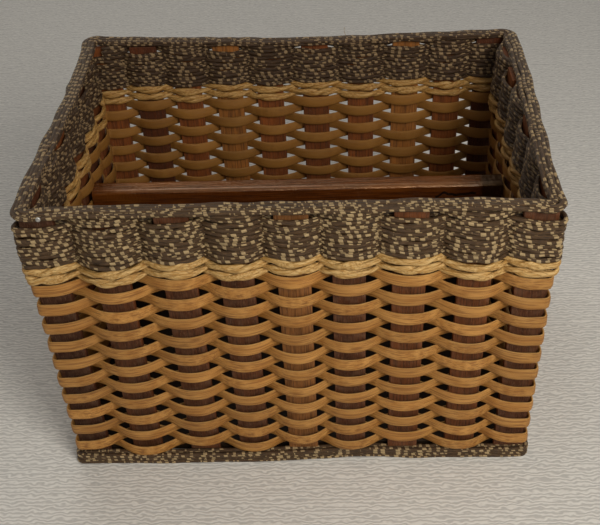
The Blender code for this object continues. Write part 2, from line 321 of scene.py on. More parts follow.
def paintInsideShade(tree, colour, inside):
    # Painted shade: the inner side of the weave is made darker than the outer one, for the shade inside the
    # basket
    shade = mixColour(tree, outerSide(tree), inside, (1.0, 1.0, 1.0))
    return mixColour(tree, 1.0, colour, shade, "MULTIPLY")


# Finishes. A ramp reads: value from, value to, and what the two become if not 0 and 1.
# A layer reads: what drives it, its colour, its ramp. A bump reads: strength, distance in metres.
def layered(tree, colour, values, settings):
    for name, top, *ramp in settings["layers"]:
        colour = mixColour(tree, remap(tree, values[name], *ramp), colour, settings[top])
    return colour


def feedShader(tree, shader, colour, height, values, settings):
    tree.links.new(colour, shader.inputs["Base Color"])
    if "rough" in settings:
        name, *ramp = settings["rough"]
        tree.links.new(remap(tree, values[name], *ramp), shader.inputs["Roughness"])
    strength, distance = settings["bump"]
    bump = addNode(tree, "Bump", {"Height": height, "Strength": strength, "Distance": distance})
    tree.links.new(bump.outputs[0], shader.inputs["Normal"])


reedFinish = {
    "middle": (0.415, 0.181, 0.036),
    "dark": (0.185, 0.066, 0.010),
    "pale": (0.540, 0.268, 0.068),
    "edge": (0.610, 0.360, 0.120),  # along both narrow edges
    # painted shade on the inner side of the weave
    "inside": (0.50, 0.385, 0.225),
    "layers": (("Patches", "pale", 0.35, 0.65), ("Streaks", "dark", 0.52, 0.36, 0.0, 0.68),
               ("Fine", "dark", 0.44, 0.35, 0.0, 0.88)),  # the last are thin splits along the grain
    "streakLength": 0.045,
    "streaksRound": 30.0,
    "seeds": 40.0,
    "edgeRamp": (0.165, 0.235),
    "edgePatchRamp": (0.2, 0.7, 0.5, 0.95),
    "toneRamp": (0.0, 1.0, 0.76, 1.16),
    "rough": ("Fine", 0.3, 0.7, 0.64, 0.44),
    "bump": (0.65, 0.0008),
}


def makeReedMaterial(settings):
    material, tree, shader = newMaterial("caneReed", gloss=0.35)
    tone = strandTone(tree)
    fibres = strandFibres(tree, settings, multiply(tree, tone, settings["seeds"]))
    colour = layered(tree, settings["middle"], fibres, settings)
    fromFront = apart(tree, split(tree, strandPlace(tree))[1], frontShare)
    # Paler along both narrow edges, more in some patches than in others
    edge = multiply(tree, remap(tree, fromFront, *settings["edgeRamp"]),
                    remap(tree, fibres["Patches"], *settings["edgePatchRamp"]))
    colour = mixColour(tree, edge, colour, settings["edge"])
    colour = shaded(tree, colour, remap(tree, tone, *settings["toneRamp"]))
    feedShader(tree, shader, paintInsideShade(tree, colour, settings["inside"]), fibres["Fine"], fibres, settings)
    return material


ropeFinish = {
    "middle": (0.445, 0.240, 0.062),
    "dark": (0.200, 0.090, 0.018),
    "pale": (0.660, 0.440, 0.175),
    # painted shade on the inner side of the weave
    "inside": (0.78, 0.70, 0.58),
    "layers": (("Streaks", "pale", 0.40, 0.62), ("Fine", "dark", 0.45, 0.32, 0.0, 0.65)),
    "streakLength": 0.016,
    "streaksRound": 9.0,
    "seeds": 30.0,
    "layLength": 0.0078,  # from one dark line of the twist to the next
    "laySlant": 4.2,
    "layWander": 0.9,
    "grooveRamp": (0.12, 0.02),
    "groovePatchRamp": (0.3, 0.6, 0.20, 0.62),
    "grooveDepth": 0.5,
    "rough": ("Patches", 0.3, 0.7, 0.36, 0.56),
    "bump": (0.75, 0.0007),
}


def makeRopeMaterial(settings):
    material, tree, shader = newMaterial("twistedSeagrass", gloss=0.40)
    fibres = strandFibres(tree, settings, multiply(tree, strandTone(tree), settings["seeds"]))
    colour = layered(tree, settings["middle"], fibres, settings)
    # The twist: thin lines that slant across the ply, sunk by the bump and darkened as painted shade in the
    # grooves
    parts = split(tree, strandPlace(tree))
    line = add(tree, calculate(tree, "DIVIDE", parts[0], settings["layLength"]),
               multiply(tree, parts[1], settings["laySlant"]))
    line = add(tree, line, multiply(tree, fibres["Streaks"], settings["layWander"]))
    reach = apart(tree, calculate(tree, "FRACT", line), 0.5)
    groove = multiply(tree, remap(tree, reach, *settings["grooveRamp"]),
                      remap(tree, fibres["Patches"], *settings["groovePatchRamp"]))
    colour = paintInsideShade(tree, mixColour(tree, groove, colour, settings["dark"]), settings["inside"])
    height = subtract(tree, fibres["Fine"], multiply(tree, groove, settings["grooveDepth"]))
    feedShader(tree, shader, colour, height, fibres, settings)
    return material


twineFinish = {
    "dark": (0.015, 0.007, 0.0025),
    "light": (0.138, 0.072, 0.027),
    "fleck": (0.510, 0.370, 0.190),
    "fleckDull": (0.250, 0.172, 0.088),
    # painted shade on the inner side of the weave
    "inside": (0.66, 0.61, 0.60),
    "layers": (("Fine", "light", 0.38, 0.66),),
    "streakLength": 0.012,
    "streaksRound": 11.0,
    "seeds": 9.0,
    "fleckSpacing": 0.0066,
    "fleckRows": 4.0,  # round the strand
    "fleckLength": 0.55,
    "fleckRise": 0.10,
    "wearRamp": (0.26, 0.50, 0.10, 1.0),
    "cellRamp": (0.3, 1.0, 0.55, 1.0),
    "rough": ("Fine", 0.3, 0.7, 0.62, 0.38),
    "bump": (0.85, 0.0010),
}


def makeTwineMaterial(settings):
    material, tree, shader = newMaterial("fleckedTwine", gloss=0.35)
    seed = calculate(tree, "FLOOR", multiply(tree, strandTone(tree), settings["seeds"]))
    fibres = strandFibres(tree, settings, seed)
    flecks = useGroup(tree, fleckGroup, {"Place": strandPlace(tree), "Spacing": settings["fleckSpacing"],
                                         "Rows": settings["fleckRows"], "Length": settings["fleckLength"],
                                         "Seed": seed})
    worn = multiply(tree, remap(tree, fibres["Fine"], *settings["wearRamp"]),
                    remap(tree, flecks["Worn"], *settings["cellRamp"]))
    fleckColour = mixColour(tree, worn, settings["fleckDull"], settings["fleck"])
    colour = layered(tree, settings["dark"], fibres, settings)
    colour = paintInsideShade(tree, mixColour(tree, flecks["Flecks"], colour, fleckColour), settings["inside"])
    height = add(tree, fibres["Fine"], multiply(tree, flecks["Flecks"], settings["fleckRise"]))
    feedShader(tree, shader, colour, height, fibres, settings)
    return material


stakeFinishes = {
    "dusty": {"outer": (0.106, 0.036, 0.014), "inner": (0.170, 0.048, 0.012), "dust": 0.20, "seed": 0.3},
    "red": {"outer": (0.165, 0.053, 0.017), "inner": (0.195, 0.056, 0.013), "dust": 0.14, "seed": 1.7},
    "orange": {"outer": (0.260, 0.105, 0.030), "inner": (0.290, 0.110, 0.024), "dust": 0.08, "seed": 2.9},
    "deep": {"outer": (0.058, 0.020, 0.009), "inner": (0.080, 0.022, 0.007), "dust": 0.18, "seed": 4.1},
}
stakeWood = {
    "grain": (0.030, 0.012, 0.007),
    "pores": (0.300, 0.170, 0.100),
    "dust": (0.230, 0.135, 0.082),
    "layers": (("Grain", "grain", 0.56, 0.36, 0.0, 0.62), ("Pores", "pores", 0.58, 0.72, 0.0, 0.45)),
    "figureRamp": (0.3, 0.7, 0.72, 1.28),
    "dustScale": 160.0,
    "dustRamp": (0.42, 0.66),
    "rough": ("Grain", 0.3, 0.7, 0.72, 0.50),
    "bump": (0.5, 0.0005),
}


def makeStakeMaterial(name, finish, settings):
    material, tree, shader = newMaterial("stakeWood_" + name, gloss=0.22)
    place = objectPlace(tree)
    wood = useGroup(tree, woodGroup, {"Place": place, "Seed": finish["seed"]})
    outside = outerSide(tree)
    colour = mixColour(tree, outside, finish["inner"], finish["outer"])
    colour = shaded(tree, colour, remap(tree, wood["Figure"], *settings["figureRamp"]))
    colour = layered(tree, colour, wood, settings)
    dust = remap(tree, speckle(tree, place, scale=settings["dustScale"], detail=4.0), *settings["dustRamp"])
    dust = multiply(tree, multiply(tree, dust, outside), finish["dust"])
    colour = mixColour(tree, dust, colour, settings["dust"])
    feedShader(tree, shader, colour, wood["Grain"], wood, settings)
    return material


def lengthwiseWood(tree, settings):
    # Wood with its grain along x
    turn = {"Vector": objectPlace(tree), "Rotation": (0.0, math.pi / 2, 0.0)}
    turned = addNode(tree, "Mapping", turn).outputs[0]
    wood = useGroup(tree, woodGroup, {"Place": turned, "Seed": settings["seed"]})
    return wood, layered(tree, settings["dark"], wood, settings)


barFinish = {
    "middle": (0.122, 0.031, 0.004),
    "dark": (0.050, 0.012, 0.002),
    "pale": (0.210, 0.064, 0.009),
    # near black, for the painted shadow over the right end and the thin painted shadow line
    "paintedShadow": (0.004, 0.002, 0.001),
    "gleam": (1.0, 0.60, 0.32),
    "layers": (("Grain", "middle", 0.38, 0.64), ("Figure", "pale", 0.50, 0.72, 0.0, 0.75)),
    "seed": 0.9,
    "endShadowRamp": (0.1640, 0.1680, 0.0, 0.90),  # painted shadow: the right end is nearly black from here on
    "shadowLineFrom": 0.125,
    "shadowLineTo": 0.161,
    "shadowLineLevel": 0.1746,
    "shadowLineWaves": (85.0, 0.0, 0.0),
    "shadowLineRise": 0.0030,  # how far it wanders up and down
    "shadowLineHalf": 0.00135,
    "rippleScale": (420.0, 160.0, 160.0),
    "rough": ("Figure", 0.3, 0.7, 0.22, 0.13),
    "bump": (0.60, 0.0008),
}


def makeBarMaterial(settings):
    material, tree, shader = newMaterial("varnishedBar", coat=0.16, coatRoughness=0.10, gloss=0.90)
    shader.inputs["Specular Tint"].default_value = (*settings["gleam"], 1)
    wood, colour = lengthwiseWood(tree, settings)
    place = objectPlace(tree)
    parts = split(tree, place)
    # Painted shadow over the right end
    paintedShadow = remap(tree, parts[0], *settings["endShadowRamp"])
    # A thin painted shadow line low on the front
    drift = speckle(tree, stretch(tree, place, settings["shadowLineWaves"]), detail=1.0)
    level = remap(tree, drift, 0.3, 0.7, settings["shadowLineLevel"] - settings["shadowLineRise"],
                  settings["shadowLineLevel"] + settings["shadowLineRise"])
    shadowLine = calculate(tree, "LESS_THAN", apart(tree, parts[2], level), settings["shadowLineHalf"])
    shadowLine = multiply(tree, shadowLine, calculate(tree, "GREATER_THAN", parts[0], settings["shadowLineFrom"]))
    shadowLine = multiply(tree, shadowLine, calculate(tree, "LESS_THAN", parts[0], settings["shadowLineTo"]))
    colour = mixColour(tree, calculate(tree, "MAXIMUM", paintedShadow, shadowLine), colour, settings["paintedShadow"])
    ripple = speckle(tree, stretch(tree, place, settings["rippleScale"]), detail=3.0)
    feedShader(tree, shader, colour, add(tree, wood["Grain"], ripple), wood, settings)
    return material


# Painted shade: near-black wood, so that the gaps in the weave show a dark inside
shadedBaseFinish = {
    "middle": (0.020, 0.012, 0.007),
    "dark": (0.008, 0.005, 0.0035),
    "pale": (0.030, 0.018, 0.010),
    "layers": (("Grain", "middle", 0.35, 0.65), ("Figure", "pale", 0.45, 0.70, 0.0, 0.6)),
    "seed": 3.3,
    "rough": ("Pores", 0.3, 0.7, 0.70, 0.48),
    "bump": (0.4, 0.0005),
}


def makeShadedBaseMaterial(settings):
    material, tree, shader = newMaterial("baseBoardPaintedShade", gloss=0.10)
    wood, colour = lengthwiseWood(tree, settings)
    feedShader(tree, shader, colour, wood["Grain"], wood, settings)
    return material


steelFinish = {
    "dark": (0.36, 0.35, 0.33),
    "light": (0.60, 0.59, 0.57),
    "layers": (("Marks", "light", 0.3, 0.7),),
    "brushing": (300.0, 2600.0, 2600.0),
    "rough": ("Marks", 0.3, 0.7, 0.28, 0.50),
    "bump": (0.2, 0.0002),
}


def makeSteelMaterial(settings):
    material, tree, shader = newMaterial("brushedSteel", metallic=1.0)
    values = {"Marks": speckle(tree, stretch(tree, objectPlace(tree), settings["brushing"]), detail=2.0)}
    colour = layered(tree, settings["dark"], values, settings)
    feedShader(tree, shader, colour, values["Marks"], values, settings)
    return material


reedMaterial = makeReedMaterial(reedFinish)
ropeMaterial = makeRopeMaterial(ropeFinish)
twineMaterial = makeTwineMaterial(twineFinish)
stakeMaterials = {name: makeStakeMaterial(name, finish, stakeWood) for name, finish in stakeFinishes.items()}
barMaterial = makeBarMaterial(barFinish)
shadedBaseMaterial = makeShadedBaseMaterial(shadedBaseFinish)
steelMaterial = makeSteelMaterial(steelFinish)
print("materials made")


# The stakes' places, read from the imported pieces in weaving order
wallDirections = {"front": (1, 0), "right": (0, 1), "back": (-1, 0), "left": (0, -1)}
wallCounts = {"front": 9, "right": 6, "back": 10, "left": 6}


def readStakes():
    found = []
    for wall, along in wallDirections.items():
        boxes = [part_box(f"{wall}_stake_{number + 1}") for number in range(wallCounts[wall])]
        centres = [np.array(((low + high) / 2)[:2]) for low, high in boxes]
        gaps = [float(np.linalg.norm(two - one)) for one, two in zip(centres, centres[1:])]
        even = [sum(gaps) / len(gaps)]
        for number, (centre, before, after) in enumerate(zip(centres, even + gaps, gaps + even)):
            found.append({"wall": wall, "centre": centre, "along": np.array(along, float), "before": before,
                          "after": after, "first": number == 0, "last": number == len(boxes) - 1})
    return found


stakes = readStakes()
around = len(stakes)
lowStake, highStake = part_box("front_stake_9")  # the one at the right front corner
halfThick = (highStake.y - lowStake.y) / 2
stakeEdge = highStake.x
boxEdge = cadBox[1][0]
wallY = abs(float(stakes[0]["centre"][1]))


def outwardOf(stake):
    return np.array((stake["along"][1], -stake["along"][0]))


# Routes of the woven strands
spiral = {
    "rows": 20,
    "rowPitch": 0.0100,
    "firstRow": 0.0163,
    "ropePitch": 0.00395,
    "firstRope": 0.21295,
    "climbFrom": 25,  # the strand climbs one row along the left wall
    "buttGap": 0.0005,
    "stepsPerStake": 12,
    "pastCorner": 0.20,  # of the pitch, for a strand that runs on behind a long wall's last stake
    "pastSide": 0.25,  # of the pitch, at the ends of the side walls
}
cornerSettings = {
    "radius": 0.0036,
    "turns": (0, 22.5, 45, 67.5, 90),  # degrees
    "inset": 0.0004,  # the bend's last point lies this far in from its reach
    "countStep": 0.09,  # of a stake, from one point of the bend to the next
}


def between(one, two, share):
    return one + (two - one) * share


def turnLevel(turn):
    if turn < spiral["rows"]:
        return spiral["firstRow"] + turn * spiral["rowPitch"]
    return spiral["firstRope"] + (turn - spiral["rows"]) * spiral["ropePitch"]


def climbed(count):
    # The turn, and the share of its climb that is done
    turn = math.floor(count / around)
    share = (count - turn * around - spiral["climbFrom"]) / (around - spiral["climbFrom"])
    return turn, min(max(share, 0), 1)


def spiralLevel(count):
    turn, share = climbed(count)
    return between(turnLevel(turn), turnLevel(turn + 1), share)


# How far the rows hang below their even level at each stake, at three levels of the wall:
# the lowest row, the rope and the band's top
dropLevels = (0.0163, 0.2190, 0.2600)
rowDrops = {
    "front": ((0.0026, 0.0002, 0.0000, -0.0012, -0.0008, -0.0022, -0.0028, -0.0016, 0.0002),
              (0.0036, 0.0022, 0.0004, 0.0002, 0.0004, -0.0006, 0.0006, 0.0034, 0.0066),
              (0.0012, 0.0004, -0.0004, -0.0018, -0.0004, -0.0018, 0.0000, 0.0006, 0.0038)),
    "right": ((0.0002, 0, 0, 0, 0, 0), (0.0040, 0.0016, 0.0004, 0.0004, 0.0006, 0.0008),
              (0.0022, 0.0010, 0.0004, 0.0004, 0.0006, 0.0008)),
    "back": ((0,) * 10, (0.0008,) * 10, (0.0006,) * 10),
    "left": ((0, 0, 0, 0.0004, 0.0010, 0.0018), (0.0008, 0.0006, 0.0006, 0.0012, 0.0020, 0.0028),
             (0.0006, 0.0004, 0.0004, 0.0004, 0.0004, 0.0004)),
}


def dropAt(counts, levels):
    marks = np.arange(around + 1)
    rows = []
    for number in range(len(dropLevels)):
        row = [drop for wall in wallCounts for drop in rowDrops[wall][number]]
        rows.append(np.interp(counts % around, marks, row + row[:1]))
    foot, rope, top = dropLevels
    lower = between(rows[0], rows[1], (levels - foot) / (rope - foot))
    upper = between(rows[1], rows[2], ((levels - rope) / (top - rope)).clip(0, 1))
    return np.where(levels < rope, lower, upper)


def cornerBend(stake, swing, depth, cornerReach):
    # Round the corner, between the stake's edge and the edge of the basket's box
    sx, sy = (math.copysign(1, value) for value in stake["centre"])
    reach = min(stakeEdge + cornerReach, boxEdge - depth / 2)
    radius = cornerSettings["radius"]
    innerX, innerY = reach - radius, wallY + swing - radius
    turns = np.radians(cornerSettings["turns"])
    bend = [(innerX + radius * math.sin(turn), innerY + radius * math.cos(turn)) for turn in turns]
    bend.append((reach - cornerSettings["inset"], wallY - halfThick))
    return [(sx * x, sy * y) for x, y in bend]


def planPoints(start, end, swingAt, depth, cornerReach):
    # One row of numbers per point: x, y, count along the weave, and how far out it lies, 0 to 1
    points = []
    for count in range(start, end + 1):
        stake = stakes[count % around]
        outside = count % 2 == 1
        swing = swingAt(count)
        longWall = stake["wall"] in ("front", "back")
        past = spiral["pastSide"]
        if longWall:
            past = 0.0 if outside else spiral["pastCorner"]
        low = -past if stake["first"] else -0.5
        high = past if stake["last"] else 0.5
        if count == start:
            low = spiral["buttGap"] / 2 / stake["after"]
        if count == end:
            high = -spiral["buttGap"] / 2 / stake["before"]
        steps = max(2, round((high - low) * spiral["stepsPerStake"]))
        shares = np.linspace(low, high, steps + 1)
        if high == 0.5:
            shares = shares[:-1]
        direction = outwardOf(stake) * (swing if outside else -swing)
        rows = []
        for share in shares:
            out = 1 - (2 * share) ** 2
            pitch = stake["before"] if share < 0 else stake["after"]
            place = stake["centre"] + stake["along"] * share * pitch + direction * out
            rows.append((place[0], place[1], count + share, out))
        if outside and longWall and count not in (start, end):
            bend = cornerBend(stake, swing, depth, cornerReach)
            ways = [cornerSettings["countStep"] * (1 + step) for step in range(len(bend))]
            if stake["last"]:
                rows += [(x, y, count + way, 1) for way, (x, y) in zip(ways, bend)]
            if stake["first"]:
                rows = [(x, y, count - way, 1) for way, (x, y) in zip(ways, bend)][::-1] + rows
        points += rows
    return np.array(points)


def smoothed(points, times=2):
    # Cuts the corners of the line, which rounds it
    for _ in range(times):
        one = 0.75 * points[:-1] + 0.25 * points[1:]
        two = 0.25 * points[:-1] + 0.75 * points[1:]
        inner = np.empty((2 * len(one), points.shape[1]))
        inner[0::2], inner[1::2] = one, two
        points = np.vstack((points[:1], inner, points[-1:]))
    return points


def evenly(points, step, closed=False):
    if closed:
        points = np.vstack((points, points[:1]))
    gaps = np.linalg.norm(np.diff(points[:, :3], axis=0), axis=1)
    length = np.concatenate(([0], np.cumsum(gaps)))
    many = max(4, int(round(length[-1] / step)))
    marks = np.linspace(0, length[-1], many + 1)
    return np.column_stack([np.interp(marks, length, points[:, axis]) for axis in range(points.shape[1])])


def weavePath(start, end, swingAt, level, settings):
    # The strand's centre line, how far each point is along it, and how far out of the wall, 0 to 1
    plan = smoothed(planPoints(start, end, swingAt, settings["depth"], settings["cornerReach"]))
    heights = np.array([level(count) for count in plan[:, 2]])
    heights -= dropAt(plan[:, 2], heights)
    path = evenly(np.column_stack((plan[:, :2], heights, plan[:, 3])), settings["step"])
    return path[:, :3], np.arange(len(path)) * settings["step"], path[:, 3].clip(0, 1)


waveSettings = {
    "paces": (1.0, 1.9, 3.3),
    "leastPace": 0.8,
    "paceSpread": 0.4,
    "usualHeight": 1.3,  # of the three waves together
}


def wander(marks, seed, period, amount):
    # A smooth, seeded wobble along a strand
    chance = np.random.RandomState(seed)
    total = np.zeros(len(marks))
    for part in waveSettings["paces"]:
        pace = part * (waveSettings["leastPace"] + waveSettings["paceSpread"] * chance.rand())
        total += np.sin(2 * math.pi * (marks / period * pace + chance.rand())) / part
    return amount * total / waveSettings["usualHeight"]


def wanderingTone(marks, seed, period, amount, shift=0.0):
    return (0.5 + wander(marks, seed, period, amount) + shift).clip(0, 1)


# A strand swept along its path
def axesAlong(path, closed=False):
    # Outwards and upwards, square to the path
    if closed:
        tangent = np.roll(path, -1, axis=0) - np.roll(path, 1, axis=0)
    else:
        tangent = np.gradient(path, axis=0)
    tangent /= np.linalg.norm(tangent, axis=1)[:, None]
    out = np.column_stack((tangent[:, 1], -tangent[:, 0], np.zeros(len(path))))
    out /= np.linalg.norm(out, axis=1)[:, None]
    return out, np.cross(out, tangent)


def sectionShape(sides, squareness=1.0):
    # Starts at the lower edge, where the seam of the strand's map then lies
    turns = -math.pi / 2 + 2 * math.pi * np.arange(sides) / sides
    ways = np.column_stack((np.cos(turns), np.sin(turns)))
    return np.sign(ways) * np.abs(ways) ** squareness


def lengthAlong(path):
    return np.concatenate(([0], np.cumsum(np.linalg.norm(np.diff(path, axis=0), axis=1))))


def sweepStrand(path, halfDepth, halfHeight, shape, roll=0.0, tone=0.5, closed=False, pinch=None):
    # The pinch narrows both ends, to these shares of the depth and the height
    out, up = axesAlong(path, closed)
    many = len(path)
    halfDepth = np.broadcast_to(halfDepth, many).copy()
    halfHeight = np.broadcast_to(halfHeight, many).copy()
    if pinch:
        halfDepth[[0, -1]] *= pinch[0]
        halfHeight[[0, -1]] *= pinch[1]
    roll = np.broadcast_to(roll, many)[:, None]
    across = shape[None, :, 0] * halfDepth[:, None]
    rise = shape[None, :, 1] * halfHeight[:, None]
    turnedAcross = across * np.cos(roll) - rise * np.sin(roll)
    turnedRise = across * np.sin(roll) + rise * np.cos(roll)
    points = path[:, None, :] + out[:, None, :] * turnedAcross[:, :, None]
    points = points + up[:, None, :] * turnedRise[:, :, None]
    length = lengthAlong(np.vstack((path, path[:1])) if closed else path)
    return {"points": points, "length": length, "tone": np.broadcast_to(tone, many), "closed": closed}


bakeMargin = 0.04  # of a row of the second map, left free at both sides of it


def buildStrands(name, strands, material):
    # One mesh from several swept strands, with a map along each and a second one laid out in rows
    vertices, faces, marks, bakeMarks, tones = [], [], [], [], []
    sides = strands[0]["points"].shape[1]
    segments = sum(len(strand["length"]) - 1 for strand in strands)
    total = sum(strand["length"][-1] for strand in strands)
    first = strands[0]["points"]
    girth = float(np.linalg.norm(first[2] - np.roll(first[2], 1, axis=0), axis=1).sum())
    rows = max(1, round(math.sqrt(total / girth)))
    perRow = math.ceil(segments / rows)
    base, done = 0, 0
    for strand in strands:
        many = len(strand["points"])
        steps = len(strand["length"]) - 1
        vertices.append(strand["points"].reshape(-1, 3))
        tones.append(np.repeat(strand["tone"], sides))
        step, side = np.meshgrid(np.arange(steps), np.arange(sides), indexing="ij")
        following, beside = (step + 1) % many, (side + 1) % sides
        quads = np.stack((step * sides + side, following * sides + side, following * sides + beside,
                          step * sides + beside), axis=-1).reshape(-1, 4) + base
        faces += quads.tolist()
        here, there = strand["length"][step], strand["length"][step + 1]
        low, high = side / sides, (side + 1) / sides
        marks.append(np.stack((here, low, there, low, there, high, here, high), axis=-1).reshape(-1, 2))
        row, column = np.divmod(done + step, perRow)
        left, right = column / perRow, (column + 1) / perRow
        bottom = (row + between(bakeMargin, 1 - bakeMargin, low)) / rows
        top = (row + between(bakeMargin, 1 - bakeMargin, high)) / rows
        corners = (left, bottom, right, bottom, right, top, left, top)
        bakeMarks.append(np.stack(corners, axis=-1).reshape(-1, 2))
        if not strand["closed"]:
            last = base + (many - 1) * sides
            faces.append(list(range(base, base + sides)))
            faces.append(list(range(last + sides - 1, last - 1, -1)))
            for place, segment in ((strand["length"][0], 0), (strand["length"][-1], steps - 1)):
                marks.append(np.column_stack((np.full(sides, place), np.linspace(0, 1, sides))))
                row, column = divmod(done + segment, perRow)
                bakeMarks.append(np.tile(((column + 0.5) / perRow, (row + 0.5) / rows), (sides, 1)))
        base += many * sides
        done += steps
    mesh = bpy.data.meshes.new(name)
    mesh.from_pydata(np.concatenate(vertices).tolist(), [], faces)
    for label, values in (("strand", marks), ("OFBake", bakeMarks)):
        layer = mesh.uv_layers.new(name=label)
        layer.data.foreach_set("uv", np.concatenate(values).ravel())
    layer = mesh.attributes.new("tone", "FLOAT", "POINT")
    layer.data.foreach_set("value", np.concatenate(tones).astype(np.float32))
    mesh.shade_smooth()
    mesh.materials.append(material)
    piece = bpy.data.objects.new(name, mesh)
    scene.collection.objects.link(piece)
    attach(piece, "root")
    return piece


# Flat reed, twenty rows of one climbing weaver. A wobble reads: length of its wave, amount
reedSettings = {
    "height": 0.0112,
    "pressedHeight": 0.0099,  # where it crosses its neighbours
    "depth": 0.0024,
    "step": 0.0022,
    "sides": 12,
    "squareness": 0.62,
    "swing": 0.0073,  # from the middle of the wall to the reed, at a stake
    "cornerReach": 0.0015,  # from the corner stake's edge to the reed that passes it
    "swingSpread": 0.0006,
    "frontSwing": (0.0090, 0.0098, 0.0094, 0.0088, 0.0092, 0.0084, 0.0086, 0.0094, 0.0082),
    "extraSwing": {"left": 0.0008, "right": 0.0012},
    "rowSpread": 0.0004,
    "levelWobble": (0.19, 0.00028),
    "tiltWobble": (0.11, 3.0),  # degrees
    "pressedTilt": 0.3,  # share of the tilt that is left behind a stake
    "heightWobble": (0.21, 0.022),
    "toneWobble": (0.5, 0.20),
    "toneSpread": 0.16,
    "seed": 11,
    "rowSeeds": (100, 200, 300, 400),  # the rows' levels, tilts, heights and tones
}


def makeSwings(settings):
    chance = np.random.RandomState(settings["seed"])
    swings = settings["swing"] + settings["swingSpread"] * chance.uniform(-1, 1, around)
    swings[:len(settings["frontSwing"])] = settings["frontSwing"]
    swings += [settings["extraSwing"].get(stake["wall"], 0) for stake in stakes]
    return swings


def makeReeds(settings):
    seed = settings["seed"]
    swings = makeSwings(settings)
    innerSwings = np.random.RandomState(seed + 1).uniform(-1, 1, around)
    innerSwings = settings["swing"] + settings["swingSpread"] * innerSwings
    jitter = np.random.RandomState(seed + 2).uniform(-1, 1, around * (spiral["rows"] + 2))
    jitter *= settings["rowSpread"]
    shape = sectionShape(settings["sides"], settings["squareness"])
    seams = [turn * around - turn % 2 for turn in range(spiral["rows"])]
    seams.append((spiral["rows"] - 1) * around + spiral["climbFrom"])
    chance = np.random.RandomState(seed + 3)

    def swingAt(count):
        base = swings if count % 2 else innerSwings
        return base[count % around] + jitter[count + 3]  # its first three numbers stay unused

    for row, (start, end) in enumerate(zip(seams, seams[1:])):
        centre, marks, middle = weavePath(start, end, swingAt, spiralLevel, settings)
        levelSeed, tiltSeed, heightSeed, toneSeed = (first + row for first in settings["rowSeeds"])
        centre[:, 2] += wander(marks, levelSeed, *settings["levelWobble"])
        roll = np.radians(wander(marks, tiltSeed, *settings["tiltWobble"]))
        roll *= between(settings["pressedTilt"], 1, middle)
        half = between(settings["pressedHeight"], settings["height"], middle) / 2
        half = half * (1 + wander(marks, heightSeed, *settings["heightWobble"]))
        shift = chance.uniform(-settings["toneSpread"], settings["toneSpread"])
        tone = wanderingTone(marks, toneSeed, *settings["toneWobble"], shift)
        strand = sweepStrand(centre, settings["depth"] / 2, half, shape, roll, tone)
        piece = buildStrands(f"reed_weave_{row + 1:02d}", [strand], reedMaterial)
        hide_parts(f"reed_row_{row + 1:02d}")


makeReeds(reedSettings)
print("reeds woven")


# Light rope, four turns of two twisted plies
ropeSettings = {
    "turns": 4,
    "depth": 0.0054,
    "height": 0.0080,  # over a stake, where its neighbours are on the other side
    "pressedHeight": 0.0050,  # where it crosses them
    "plies": 2,
    "lay": 0.052,
    "plyShare": 0.60,
    "plySwell": 1.10,  # the plies press into each other
    "step": 0.0013,
    "sides": 9,
    "swing": 0.0066,
    "cornerReach": 0.0060,
    "swingSpread": 0.0004,
    "frontSwing": (0.0090, 0.0112, 0.0096, 0.0088, 0.0084, 0.0084, 0.0088, 0.0096, 0.0084),
    "extraSwing": {"left": 0.0014, "right": 0.0030},
    "heightWobble": (0.05, 0.06),
    "levelWobble": (0.10, 0.00025),
    "layWobble": (0.09, 0.7),
    "plyWobble": (0.03, 0.07),
    "toneWobble": (0.2, 0.3),
    "pinch": (0.55, 0.75),
    "seed": 21,
}


def makeRope(settings):
    seed = settings["seed"]
    swings = makeSwings(settings)
    start = (spiral["rows"] - 1) * around + spiral["climbFrom"]
    end = start + settings["turns"] * around
    centre, marks, middle = weavePath(start, end, lambda count: swings[count % around], spiralLevel, settings)
    out, up = axesAlong(centre)
    halfHeight = between(settings["pressedHeight"], settings["height"], middle) / 2
    halfHeight = halfHeight * (1 + wander(marks, seed + 1, *settings["heightWobble"]))
    halfDepth = settings["depth"] / 2
    centre[:, 2] += wander(marks, seed + 2, *settings["levelWobble"])
    twist = wander(marks, seed + 3, *settings["layWobble"])
    shape = sectionShape(settings["sides"])
    for ply in range(settings["plies"]):
        turn = 2 * math.pi * (marks / settings["lay"] + ply / settings["plies"]) + twist
        size = settings["plyShare"] * (1 + wander(marks, seed + 4 + ply, *settings["plyWobble"]))
        wide, tall = halfDepth * size, halfHeight * size
        line = centre + out * (np.cos(turn) * (halfDepth - wide))[:, None]
        line = line + up * (np.sin(turn) * (halfHeight - tall))[:, None]
        tone = wanderingTone(marks, seed + 9 + ply, *settings["toneWobble"])
        strand = sweepStrand(line, wide * settings["plySwell"], tall * settings["plySwell"], shape, 0.0, tone,
                             pinch=settings["pinch"])
        piece = buildStrands(f"rope_ply_{ply + 1}", [strand], ropeMaterial)
        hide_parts("light_rope")


makeRope(ropeSettings)
print("rope twisted")


# Dark flecked twine, wound in and out like the reed
twineSettings = {
    "turns": 18,
    "bandBottom": 0.22685,
    "bandTop": 0.26085,
    "depth": 0.0034,
    "height": 0.0043,
    "pressedHeight": 0.0026,
    "pressedDepth": 0.0038,
    "riseSharpness": 2.5,  # how soon a turn is at full height again beside a stake
    "step": 0.0021,
    "sides": 8,
    "squareness": 0.9,
    "swing": 0.0066,
    "cornerReach": 0.0060,
    "swingSpread": 0.0006,
    "turnSpread": 0.0006,
    "frontSwing": (0.0090, 0.0115, 0.0098, 0.0090, 0.0086, 0.0086, 0.0090, 0.0100, 0.0086),
    "extraSwing": {"left": 0.0016, "right": 0.0030},
    "topSwing": 0.74,  # share of the swing that is left at the band's top
    "levelWobble": (0.052, 0.00060),
    "outWobble": (0.040, 0.00054),
    "pressedWobble": 0.25,  # share of both that is left behind a stake
    "sizeWobble": (0.017, 0.10),
    "toneWobble": (0.3, 0.3),
    "pieces": 3,
    "seed": 41,
}


